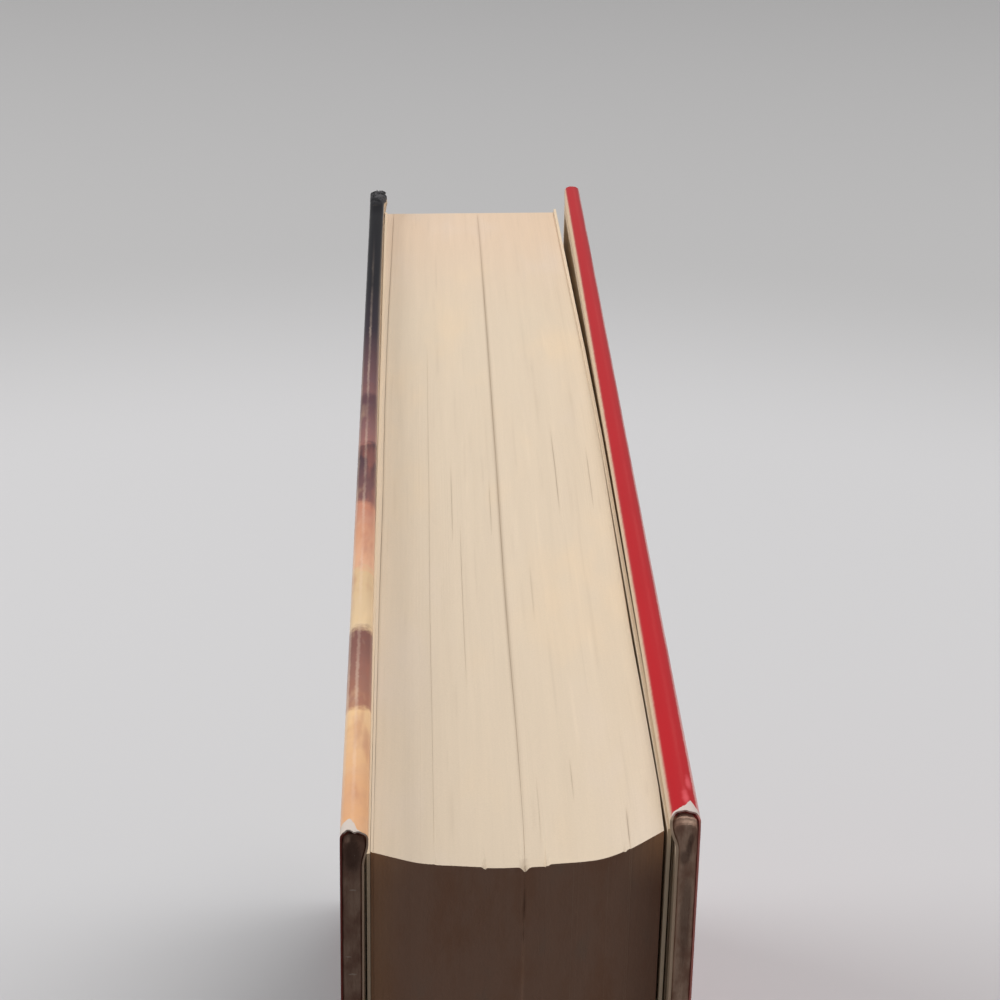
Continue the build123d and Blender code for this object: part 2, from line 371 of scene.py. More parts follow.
# Glossy laminated sheet: plain red on the back and spine
redPaint = {
    "red": (190, 16, 28),
    "deep": (172, 14, 26),
    "worn": (214, 96, 92),
    "rubbedAndGlint": (250, 208, 200),
    "lining": (221, 200, 173),
    "white": (207, 193, 185),
    "cutOuter": (238, 150, 140),
    "core": (170, 70, 62),
    "coreInner": (176, 126, 100),
    "cutRim": (240, 204, 196),
    "cutInner": (226, 196, 168),
    "liningFrom": 0.7,
    "rough": 0.26,
    "coat": 0.3,
    # painted highlight near the worn corner, over some scuffing
    "scuffSheen": (232, 92, 100),
    "scuffSheenShare": 0.75,
    "scuffSheenSpots": (((17.55, -106.3, 152.2), (0.5, 2.2, 1.2)), ((18.05, -103.2, 152.0), (0.4, 2.0, 1.0))),
}


def wearMarks(paint, liningFrom):
    # fine rubs and scratches, how far the print is torn or worn away, and pale lines along the outer rim
    # edge and the crest that are partly wear, partly painted glint and highlight
    scratch = paint.rise(paint.noise((60, 2600, 420), 2.0, 0.5), 0.73, 0.80)
    rub = paint.rise(paint.noise((900, 900, 900), 4.0, 0.7), 0.62, 0.78)
    place = paint.axes(paint.mark("coverPlace"))
    ragged = paint.noise((1500, 1500, 1500), 3.0, 0.6) - 0.5
    inside = paint.rise(place[0] + ragged * 0.12, liningFrom, liningFrom + 0.34)
    torn = 1 - paint.rise(place[1] + ragged * 0.5, -0.26, -0.16)
    patchy = paint.noise((60, 60, 60), 3.0, 0.6)
    # pale lines along the outer rim edge and the crest: partly wear, partly painted glint and highlight
    edge = paint.rise(place[2] + ragged * 0.1, 0.02, 0.08)
    edge = edge * (1 - paint.rise(place[2] + ragged * 0.2, 0.22, 0.34)) * paint.rise(patchy, 0.2, 0.7)
    fromCrest = paint.maths("ABSOLUTE", place[2] - 1.25 + ragged * 0.35 + patchy * 0.3)
    crest = (1 - paint.rise(fromCrest, 0.04, 0.28)) * paint.rise(patchy, 0.25, 0.7)
    return scratch, rub, inside, torn, edge, crest


def cutEdge(paint, colour, values):  # the sheet's worn-through edge, from outside to inside
    cut = paint.axes(paint.mark("coverCut"))
    edge = paint.mix(paint.rise(cut[1], 0.05, 0.16), values["cutOuter"], values["cutRim"])
    edge = paint.mix(paint.rise(cut[1], 0.88, 0.98), edge, values["cutInner"])
    core = paint.mix(paint.rise(cut[1], 0.9, 0.98), values["core"], values["coreInner"])
    edge = paint.mix(paint.rise(cut[2], 0.72, 0.85), edge, core)
    return paint.mix(paint.rise(cut[0], 0.3, 0.7), colour, edge)


def finishSheet(paint, values, colour, inside, torn, rough, coat, frayed=None):
    # lining, bare paper and cut edge over the print, and no gloss on them
    colour = cutEdge(paint, paint.layers(values, colour, (inside, "lining"), (torn, "white")), values)
    bare = paint.maths("MAXIMUM", inside, torn)
    height = paint.noise((420, 420, 420), 3.0) + (1 - torn) * 1.5
    if frayed:
        bare = paint.maths("MAXIMUM", bare, frayed)
        height = height + frayed * 2
    rough = rough + (0.85 - rough) * bare
    normal = paint.bump(height, 0.02 * mm, 0.35)
    return paint.finish(Base_Color=colour, Roughness=rough, Coat_Weight=coat - bare * coat, Normal=normal)


def paintRed(values):
    paint = newPaint("redLaminate", {"Coat Roughness": 0.12, "Specular IOR Level": 0.4})
    cloud = paint.noise((24, 24, 24), 3.0)
    scratch, rub, inside, torn, edge, crest = wearMarks(paint, values["liningFrom"])
    colour = paint.layers(
        values, values["red"],
        (paint.rise(cloud, 0.3, 0.8) * 0.5, "deep"),
        (scratch * 0.25 + rub * 0.08, "worn"),
        # crest and outer edge made paler: partly wear, partly painted highlight and glint
        (crest * 0.12, "worn"),
        (edge * 0.6, "rubbedAndGlint"),
    )
    scuffSheenNoise = paint.noise((700, 500, 700), 3.0, 0.6) * 1.2
    for place, radii in values["scuffSheenSpots"]:  # painted highlight over some scuffing: the print paler near the worn corner
        scuffSheen = (1 - paint.rise(paint.near(place, radii) + scuffSheenNoise, 0.7, 1.7)) * values["scuffSheenShare"]
        colour = paint.mix(scuffSheen, colour, values["scuffSheen"])
    rough = values["rough"] + scratch * 0.25 + rub * 0.12 + cloud * 0.08
    return finishSheet(paint, values, colour, inside, torn, rough, values["coat"])


# Printed front: layered hills at dusk, from warm fields at the tail to a dark sky at the head
printPaint = {
    "length": 0.2205,
    "sky": (  # share of the length, and tone
        (0.45, (170, 122, 112)),
        (0.58, (112, 80, 84)),
        (0.68, (48, 38, 48)),
        (0.78, (20, 19, 27)),
        (1.0, (11, 11, 17)),
    ),
    "ridges": (  # height, swing, waves, seed, tones of crest and foot
        (0.56, 0.14, 30, 3.1, (92, 64, 72), (146, 104, 102)),
        (0.47, 0.12, 24, 7.7, (66, 48, 60), (122, 86, 86)),
        (0.39, 0.10, 34, 12.3, (196, 136, 114), (224, 172, 140)),
        (0.29, 0.09, 20, 17.9, (218, 186, 146), (226, 198, 160)),
        (0.22, 0.10, 28, 23.3, (128, 88, 82), (164, 116, 100)),
        (0.12, 0.08, 18, 29.7, (234, 194, 150), (222, 170, 130)),
    ),
    "liningFrom": 1.0,
    "rough": 0.28,
    "coat": 0.08,
    "daubShare": 0.4,
    "daubDark": (176, 112, 96),
    "daubPale": (236, 204, 166),
    "glaze": (236, 206, 170),
    "scratched": (228, 208, 190),
    "rubbedAndGlint": (240, 214, 192),
    "lining": (218, 196, 170),
    "white": (208, 196, 186),
    "fibre": (112, 110, 112),
    "cutOuter": (138, 66, 58),
    "core": (150, 84, 66),
    "coreInner": (156, 96, 74),
    "cutRim": (226, 208, 196),
    "cutInner": (206, 176, 152),
}


def paintPrint(values):
    paint = newPaint("picturePrint", {"Coat Roughness": 0.14, "Specular IOR Level": 0.18})
    x, y, z = paint.axes()
    brush = paint.noise((260, 260, 90), 4.0, 0.65)
    daub = paint.noise((330, 70, 60), 3.0, 0.6)
    height = y / values["length"] + 0.5 + (brush - 0.5) * 0.03
    upward = z + x * 1.6  # up the cover and over its rim
    colour = paint.ramp(height, [(place, tone(*shade)) for place, shade in values["sky"]])
    for base, swing, waves, seed, crestTone, footTone in values["ridges"]:
        level = paint.add("ShaderNodeCombineXYZ", {}, {0: seed, 2: upward * waves}).outputs[0]
        crest = base + (paint.noise((1, 1, 1), 5.0, 0.5, level) - 0.5) * swing
        inLayer = paint.mix(paint.rise(crest - height, 0, 0.09), crestTone, footTone)
        colour = paint.mix(1 - paint.rise(height - crest, -0.004, 0.006), colour, inLayer)
    daubed = (1 - paint.rise(height, 0.45, 0.62)) * values["daubShare"]
    darker, paler = paint.rise(daub, 0.5, 0.68), 1 - paint.rise(daub, 0.3, 0.47)
    colour = paint.layers(values, colour, (darker * daubed, "daubDark"), (paler * daubed, "daubPale"))
    colour = paint.mix(paint.rise(brush, 0.35, 0.75) * 0.3, colour, values["glaze"], "SOFT_LIGHT")
    scratch, rub, inside, torn, edge, crest = wearMarks(paint, values["liningFrom"])
    corner = paint.rise(y, 102 * mm, 108 * mm) * paint.rise(z, 140 * mm, 146 * mm)
    frayed = corner * paint.rise(paint.noise((500, 500, 500), 4.0, 0.7), 0.42, 0.6)
    colour = paint.layers(
        values, colour,
        (scratch * 0.25 + rub * 0.06, "scratched"),
        # outer edge and crest made paler: partly wear, partly painted glint and highlight
        (edge * (1 - paint.rise(y, 0, 45 * mm)) * 0.35, "rubbedAndGlint"),
        (crest * (1 - paint.rise(y, 30 * mm, 90 * mm)) * 0.32, "rubbedAndGlint"),
        (frayed * 0.6, "fibre"),
    )
    rough = values["rough"] + scratch * 0.25 + rub * 0.12
    return finishSheet(paint, values, colour, inside, torn, rough, values["coat"], frayed)


# Mull and sewn bands at the spine
clothPaint = {
    "mull": (222, 214, 196),
    "mullGap": (150, 138, 116),
    "mullThreads": 5200,
    "thread": (214, 200, 172),
    "stripe": (176, 62, 56),
    "bandTurns": 4800,
    "bandStripes": 4200,
}


def paintMull(values):
    paint = newPaint("mullWeave", {"Roughness": 0.95, "Sheen Weight": 0.15})
    x, y, z = paint.axes()
    warp, weft = (paint.maths("SINE", way * values["mullThreads"]) for way in (x + z, y))
    weave = paint.maths("MAXIMUM", warp, weft)
    colour = paint.mix(paint.rise(weave, -0.2, 0.6), values["mullGap"], values["mull"])
    return paint.finish(Base_Color=colour, Normal=paint.bump(weave, 0.08 * mm, 0.7))


def paintBand(values):
    paint = newPaint("bandThread", {"Roughness": 0.8, "Sheen Weight": 0.2})
    x, y, z = paint.axes()
    turn = paint.maths("SINE", (x + z * 0.35) * values["bandTurns"])
    stripe = paint.rise(paint.maths("SINE", x * values["bandStripes"]), -0.15, 0.15)
    colour = paint.mix(stripe, values["stripe"], values["thread"])
    return paint.finish(Base_Color=colour, Normal=paint.bump(turn, 0.1 * mm, 0.8))


print("materials")
leafMaterial = paintLeaves(leafPaint)
paperMaterial = paintEndpaper(paperPaint)
frontBoardMaterial = paintBoard("frontGreyboard", boardPaint, frontBoardPaint)
backBoardMaterial = paintBoard("backGreyboard", boardPaint, backBoardPaint)
redMaterial = paintRed(redPaint)
printMaterial = paintPrint(printPaint)
mullMaterial = paintMull(clothPaint)
bandMaterial = paintBand(clothPaint)

finishes = (
    (frontBoardMaterial, ("front_board", "spine_board")),
    (backBoardMaterial, ("back_board",)),
    (printMaterial, ("front_cover_sheet",)),
    (redMaterial, ("back_cover_sheet", "spine_cover_sheet")),
    (paperMaterial, ("front_pastedown", "back_pastedown", "front_flyleaf", "back_flyleaf")),
    (mullMaterial, ("spine_lining",)),
    (bandMaterial, ("head_band", "tail_band")),
    (leafMaterial, ("text_block",)),
)
for material, names in finishes:
    for name in names:
        mesh = nodes[name].data
        mesh.materials.clear()
        mesh.materials.append(material)


# Text block: every leaf edge is a step of its own on three sides
block = {
    "leaves": 208,
    "spine": (-15.5, 15.1),  # x of the two outer leaves, in mm
    "frontEdge": ((-108, -15.68), (-60, -15.8), (17, -15.84), (107, -15.84)),
    "split": (
        (-108, -15.34), (-96, -15.36), (-50, -15.37), (-19, -15.24), (17, -15.28),
        (38, -15.2), (61, -15.02), (81, -14.76), (107, -14.5),
    ),
    "backEdge": (
        (-108, 15.22), (-99, 15.42), (-79, 15.36), (-60, 15.2), (-38, 15.21), (-22, 15.3), (-5, 15.45),
        (14, 15.37), (35, 15.2), (59, 14.88), (79, 14.62), (96, 14.5), (107, 14.3),
    ),
    "tail": -108.25,
    "head": 106.6,
    "bottom": 3.0,
    "top": 148.0,
    "tailRise": 2.6,
    "headRise": 0.5,
    "sag": 1.9,
    "sagOut": 1.95,
    "droop": (  # share of the thickness, and share of the sag
        (0, 0), (0.17, 0.64), (0.43, 1.0), (0.6, 1.07), (0.72, 1.08),
        (0.8, 1.0), (0.88, 0.7), (0.95, 0.3), (1, 0.02),
    ),
    "headFall": 0.2,
    "step": 0.0025,
    "tailStep": 0.005,
    "slips": ((0.229, 0.05), (0.39, -0.03), (0.521, -0.12), (0.598, -0.16), (0.884, 0.1), (1.0, 0.02)),
    "slipFade": 2.6,
    "nicks": ((0.528, 0.55, 2.4), (0.604, 0.22, 1.6), (0.392, 0.25, 1.2), (0.868, 0.15, 1.0)),
    "nickLength": 1.3,
    "looseFront": 4,  # leaves before the first long crack
    "looseCrack": (0, -5, 230, 0.03, 0.3, 120),
    "looseGap": 0.03,
    "unevenness": 0.2,  # of the leaves, as a share of one
    "hair": 0.05,  # between neighbouring leaves
    "sway": 0.10,
    "seed": 11,
    "rowsAlong": 100,
    "rowsDown": 56,
}
# Cracks: x, start and end from the tail, width and depth, and reach down the tail face, in mm
cracks = (
    (0.62, -5, 230, 0.035, 0.09, 75),
    (-8.8, 2, 150, 0.01, 0.05, 12),
    (-5.78, 78, 104, 0.015, 0.1, 0),
    (-4.75, 38, 84, 0.012, 0.07, 0),
    (-0.47, 80, 97, 0.013, 0.08, 0),
    (8.65, 86, 116, 0.018, 0.12, 0),
    (13.15, 85, 106, 0.015, 0.1, 0),
    (4.12, 55, 72, 0.01, 0.06, 0),
    (6.3, 12, 22, 0.01, 0.06, 0),
    (2.4, 3, 19, 0.007, 0.04, 0),
    (11.65, 0.5, 8.5, 0.022, 0.09, 0),
)
streaks = {"count": 170, "long": (4, 26), "strength": (0.02, 0.07)}


def smoothDroop(values):  # the droop as a smooth curve, at 200 even places
    places, falls = zip(*values["droop"])
    fine = np.linspace(0, 1, 200)
    rough = np.interp(fine, places, falls)
    reach = 14
    kernel = np.hanning(2 * reach + 3)[1:-1]
    before = 2 * rough[0] - rough[reach:0:-1]
    after = 2 * rough[-1] - rough[-2:-reach - 2:-1]
    return fine, np.convolve(np.concatenate([before, rough, after]), kernel / kernel.sum(), "valid")


def buildTextBlock(values, cracks):
    chance = np.random.default_rng(values["seed"])
    count = values["leaves"]
    uneven = chance.uniform(-values["unevenness"], values["unevenness"], count - 1)
    inner = np.arange(1, count) / count + uneven / count
    edges = np.concatenate([[0], inner, [1]])
    hair = values["hair"] / count
    leftmost, rightmost = values["frontEdge"][0][1], values["backEdge"][0][1]
    numbers = [int(round((crack[0] - leftmost) / (rightmost - leftmost) * count)) for crack in cracks]
    gaps, mainGap = dict(zip(numbers, cracks)), numbers[0]
    gaps[values["looseFront"]] = values["looseCrack"]
    share, leafOf, side, gapOf = [], [], [], []
    for leaf in range(count):  # two columns for a leaf, two more down in each crack
        before, after = gaps.get(leaf), gaps.get(leaf + 1)
        share += [edges[leaf] + hair, edges[leaf + 1] - hair]
        leafOf += [leaf, leaf]
        side += [1 if before else 0, -1 if after else 0]
        gapOf += [leaf if before else 0, leaf + 1 if after else 0]
        if after:
            share += [edges[leaf + 1] - hair / 2, edges[leaf + 1] + hair / 2]
            leafOf += [leaf, leaf + 1]
            side += [-2, 2]
            gapOf += [leaf + 1, leaf + 1]
    share, leafOf, side, gapOf = (np.array(part) for part in (share, leafOf, side, gapOf))
    valley = np.abs(side) == 2
    fine, curve = smoothDroop(values)
    droop = np.interp(share, fine, curve)
    sagOut = np.minimum(values["sag"] * droop, values["sagOut"])

    def perLeaf(amount, seed):
        draw = np.random.default_rng(seed)
        single = draw.normal(0, amount, count)
        bundle = np.repeat(draw.normal(0, amount * 0.8, count // 8 + 1), 8)[:count]
        return (single + bundle)[leafOf]

    topStep = perLeaf(values["step"], 3)
    tailStep = perLeaf(values["tailStep"], 5)
    headStep = perLeaf(values["tailStep"], 7)
    slipEnds, slipSizes = zip(*values["slips"])
    slip = np.array(slipSizes)[np.minimum(np.searchsorted(slipEnds, share), len(slipSizes) - 1)]
    slip = np.where(leafOf < values["looseFront"], 0, slip)

    nick = np.zeros(len(share))  # leaf corners worn down at the tail edge
    for place, deep, breadth in values["nicks"]:
        nick += deep * np.exp(-((share - place) * count / breadth) ** 2)

    def gapAt(fromTail, below):  # width and depth of each column's crack
        width, depth = np.zeros(len(share)), np.zeros(len(share))
        for gap, (place, start, end, wide, deep, reach) in gaps.items():
            fade = min(8.0, (end - start) * 0.4)
            parted = np.clip((fromTail - start) / fade, 0, 1) * np.clip((end - fromTail) / fade, 0, 1)
            parted *= np.clip((reach - below) / max(reach * 0.5, 1.0), 0, 1) if below > 0 else 1.0
            sway = 0.75 + 0.25 * math.sin(fromTail / 7.3 + gap) + 0.2 * math.sin(fromTail / 2.9 + 2 * gap)
            mine = (gapOf == gap) & (side != 0)
            width[mine] = wide * parted * sway
            depth[mine] = deep * parted
        return width, depth

    def across(down, part, width):  # x of each column, for 0-1 shares of height and length
        place = values["tail"] + part * (values["head"] - values["tail"])
        lower = values["spine"][0] + share * (values["spine"][1] - values["spine"][0])
        first, split, last = (along(place, values[edge]) for edge in ("frontEdge", "split", "backEdge"))
        few = values["looseFront"] / count
        loose = first + share / few * (split - values["looseGap"] - first)
        upper = np.where(share < few, loose, split + (share - few) / (1 - few) * (last - split))
        sway = values["sway"] * math.sin(part * 9.0 + 0.6) * (1 - abs(2 * share - 1)) * down
        push = np.where(valley, 0.46, 0.5) * np.sign(side) * width
        return lower + (upper - lower) * down + push + sway

    def topAt(part):
        tailTop = values["top"] + values["tailRise"] * (share - 0.5) - values["sag"] * droop
        headTop = values["top"] - values["headFall"] + values["headRise"] * (share - 0.5)
        return tailTop + (headTop - tailTop) * part

    marks = []
    # painted shade along each crack, the darker the wider the crack
    for gap, (place, start, end, wide, deep, reach) in gaps.items():
        marks.append((gap, start, end, min(0.42, wide * 11), 1.7 if wide > 0.03 else 0.8))
    for mark in range(streaks["count"]):
        start, long = chance.uniform(-20, 210), chance.uniform(*streaks["long"])
        strength = chance.uniform(*streaks["strength"]) * chance.choice([1, 1, -0.6])
        centre, breadth = chance.uniform(3, count - 2), chance.uniform(0.4, 1.6)
        marks.append((centre, start, start + long, strength, breadth))

    def shadeAt(fromTail):  # painted shade along the cracks and grime above 0, paler streaks below
        shade = np.zeros(len(share))
        for centre, start, end, strength, breadth in marks:
            if start < fromTail < end:
                fade = min(1.0, 4 * min(fromTail - start, end - fromTail) / (end - start))
                shade += strength * fade * np.exp(-((share * count - centre) / breadth) ** 2)
        return shade

    rows, shades = [], []
    length = values["head"] - values["tail"]
    tall = values["top"] - values["bottom"]
    for down in 1 - (1 - np.linspace(0, 1, values["rowsDown"])) ** 1.8:  # up the tail face
        width, depth = gapAt(0.0, (1 - down) * tall)
        z = values["bottom"] + (topAt(0) + slip - nick - values["bottom"]) * down
        y = values["tail"] - sagOut * down + (tailStep - slip * 0.15) * down
        y = y + np.where(valley, depth, 0)
        if down == 1:
            z = z - np.where(valley, depth, 0)
        rows.append(np.stack([across(down, 0, width), y, z], axis=1))
        below = (1 - down) * tall
        line = np.exp(-((share * count - mainGap) / 0.9) ** 2)
        speck = line * max(0.0, clouds(below * 0.9, 2.5, 71) - 0.25) * (2.5 < below < 9) * 0.9
        paler = line * (0.1 + 0.35 * clouds(below * 0.5, 7.5, 73)) * (below > 6)
        shades.append(shadeAt(0.1) * down ** 6 + speck - paler)
    for part in np.linspace(0, 1, values["rowsAlong"])[1:-1] ** 1.25:  # along the fore-edge
        width, depth = gapAt(part * length, 0)
        drift = ripple(part * length + leafOf * 3.1, (60, 34, 151), 9) * values["step"] * 0.8
        fade = math.exp(-part * length / values["slipFade"])
        z = topAt(part) + topStep * (0.4 + 0.6 * part) + drift + slip * fade - np.where(valley, depth, 0)
        z = z - nick * max(0.0, 1 - part * length / values["nickLength"])
        y = values["tail"] - sagOut * (1 - part) + length * part
        rows.append(np.stack([across(1, part, width), y, z], axis=1))
        shades.append(shadeAt(part * length))
    for down in np.linspace(1, 0, values["rowsDown"] // 2):  # down the head face
        width, depth = gapAt(length, 0)
        z = values["bottom"] + (topAt(1) - values["bottom"]) * down
        y = values["head"] + headStep * down - np.where(valley, depth * down, 0)
        rows.append(np.stack([across(down, 1, width * down), y, z], axis=1))
        shades.append(np.zeros(len(share)))
    points = np.concatenate(rows) * mm
    columns = len(share)
    faces = gridFaces(len(rows), columns)
    lastRow = (len(rows) - 1) * columns
    starts = list(range(0, lastRow + 1, columns))
    faces.append([lastRow, lastRow + columns - 1, columns - 1, 0])
    faces.append(starts)
    faces.append([start + columns - 1 for start in reversed(starts)])
    piece = makePiece("leafBlock", points, faces, leafMaterial)
    places = [np.tile(share * count, len(rows)), points[:, 1] / mm, points[:, 2] / mm]
    addMarks(piece, "leafPlace", np.stack(places, axis=1))
    addMarks(piece, "leafShade", np.stack([np.concatenate(shades)] * 3, axis=1))
    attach(piece, "book_body")
    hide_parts("text_block")
    print("leaf block", len(faces), "faces")


print("text block")
buildTextBlock(block, cracks)


def rimOf(rows, columns):  # the points round a grid: first row, last column, last row, first column
    last = (rows - 1) * columns
    rim = list(range(columns)) + list(range(2 * columns - 1, last + columns, columns))
    return rim + list(range(last + columns - 2, last, -1)) + list(range(last, 0, -columns))


def joinRings(first, second, flip):
    quads = zip(first, first[1:] + first[:1], second[1:] + second[:1], second)
    return [quad[::-1] if flip else quad for quad in quads]


# Free endpapers: thin leaves that stand beside the block, a little wavy
flyleaf = {
    "thickness": (0.18, 0.36, 0.4),  # at the foot, front edge and back edge
    "wave": 0.012,
    "backLift": 0.4,
    "frontFoot": -15.66,
    "backFoot": 15.26,
    "rows": 60,
    "levels": 30,
    "front": ((-108, -16.08), (-90, -16.12), (-60, -16.17), (107, -16.16)),
    "back": (
        (-108, 15.97), (-90, 15.99), (-60, 15.94), (-22, 15.88), (0, 15.86),
        (14, 15.74), (35, 15.54), (59, 15.2), (79, 14.94), (107, 14.6),
    ),
}


def buildFlyleaf(name, node, values, foot, edge, rise):
    low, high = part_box(node)
    tail, head, bottom = low.y / mm - 0.4, high.y / mm, low.z / mm
    share = np.linspace(0, 1, values["rows"])
    up = np.linspace(0, 1, values["levels"]) ** 0.8
    alongGrid, upGrid = np.meshgrid(share, up, indexing="ij")
    slope = block["tailRise"] + (block["headRise"] - block["tailRise"]) * alongGrid
    top = block["top"] + rise * slope / 2
    y = tail + (head - tail) * alongGrid
    outer = foot + (along(y, edge) - foot) * upGrid
    outer = outer + ripple(alongGrid * 215, (140, 71, 43), 21) * values["wave"] * upGrid ** 2
    z = bottom + (top + max(rise, 0) * values["backLift"] - bottom) * upGrid
    footThick, frontThick, backThick = values["thickness"]
    thick = footThick + ((backThick if foot > 0 else frontThick) - footThick) * upGrid
    sides = (outer, outer - thick * np.sign(foot))
    points = [np.stack([place, y, z], axis=-1).reshape(-1, 3) for place in sides]
    rows, columns, flip = values["rows"], values["levels"], foot > 0
    faces = gridFaces(rows, columns, 0, flip) + gridFaces(rows, columns, rows * columns, not flip)
    rim = rimOf(rows, columns)
    faces += joinRings([place + rows * columns for place in rim], rim, flip)
    piece = makePiece(name, np.concatenate(points) * mm, faces, paperMaterial)
    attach(piece, "book_body")
    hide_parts(node)


print("flyleaves")
for end, rise in (("front", -1), ("back", 1)):
    buildFlyleaf(end + "FreeEndpaper", end + "_flyleaf", flyleaf, flyleaf[end + "Foot"], flyleaf[end], rise)


# Covers: the sheet wrapped over each board, swollen and worn through at the tail
cover = {
    "outer": 18.85,
    "inner": 16.35,
    "end": 110.25,
    "rimDrop": 0.95,
    "rimPower": 2.5,
    "endRound": 1.15,
    "lip": 4.2,
    "lipFull": 1.4,  # the swelling is full this far below the top
    "rimPath": 2.6,  # length of the way over the rim
    "grooveRound": 1.3,
    "footRound": 0.8,
    "sheet": 0.2,
    "turnIn": 15.0,
    "window": 0.23,  # depth between the turn-ins
    "wornLength": 42.0,
    "shoulderRise": 0.8,  # of the joint above the hinge line
    "steps": ((0, 3, 17), (3.5, 12, 12), (15, 200, 50), (203, 213, 10), (213.5, 220.5, 26)),
    "capDrop": 0.66,  # the board's end below the cover's rim
    "capArch": 0.85,
    "jointHalf": 0.35,
    "jointInset": 0.9,
    "jointSheet": (0, 0.2),  # places over the groove
    "jointPaper": (-0.15, -0.01),
}
frontCover = {
    "side": -1,
    "top": 150.3,
    "foot": 9.1,
    "groove": 15.95,
    "hinge": 5.8,
    "rimInner": ((-110, 15.85), (-60, 16.05), (-25, 16.15), (10, 16.36), (50, 16.42), (110, 16.38)),
    "innerThick": 0.2,
    "headCorner": 0.6,
    "headLift": 0.75,
    "shellEnd": ((0, 0.1), (0.12, 0.35), (0.24, 0.5), (0.36, 0.42), (0.5, 0.12), (1, 0.05)),
    "printEnd": ((0, 1.8), (0.12, 2.4), (0.34, 2.9), (0.5, 1.8), (0.6, 0.55), (0.75, 0.25), (1, 0.22)),
    "fray": 0.32,
    "flare": 0.55,
    "boardInner": 16.57,
    "boardOuter": 18.67,
}
backCover = {
    "side": 1,
    "top": 152.3,
    "foot": 11.1,
    "groove": 15.55,
    "hinge": 6.8,
    "rimInner": (
        (-110, 15.6), (-75, 15.78), (-40, 15.88), (0, 16.0), (30, 16.08), (70, 16.18), (110, 16.25),
    ),
    "innerThick": 0.3,
    "headCorner": 1.6,
    "headLift": 0.0,
    "shellEnd": ((0, 0.2), (0.12, 0.8), (0.5, 1.0), (0.88, 0.75), (1, 0.2)),
    "printEnd": ((0, 1.3), (0.12, 2.0), (0.27, 3.3), (0.45, 2.3), (0.65, 1.6), (0.9, 1.15), (1, 0.4)),
    "fray": 0.0,
    "flare": 0.0,
    "boardInner": 16.62,
    "boardOuter": 18.67,
}


def smooth(value, low, high):
    share = np.clip((value - low) / (high - low), 0, 1)
    return share * share * (3 - 2 * share)


def roundOff(distance, radius):  # how far a rounded edge falls back near its end
    inside = np.clip(radius - distance, 0, radius)
    return radius - np.sqrt(radius ** 2 - inside ** 2)


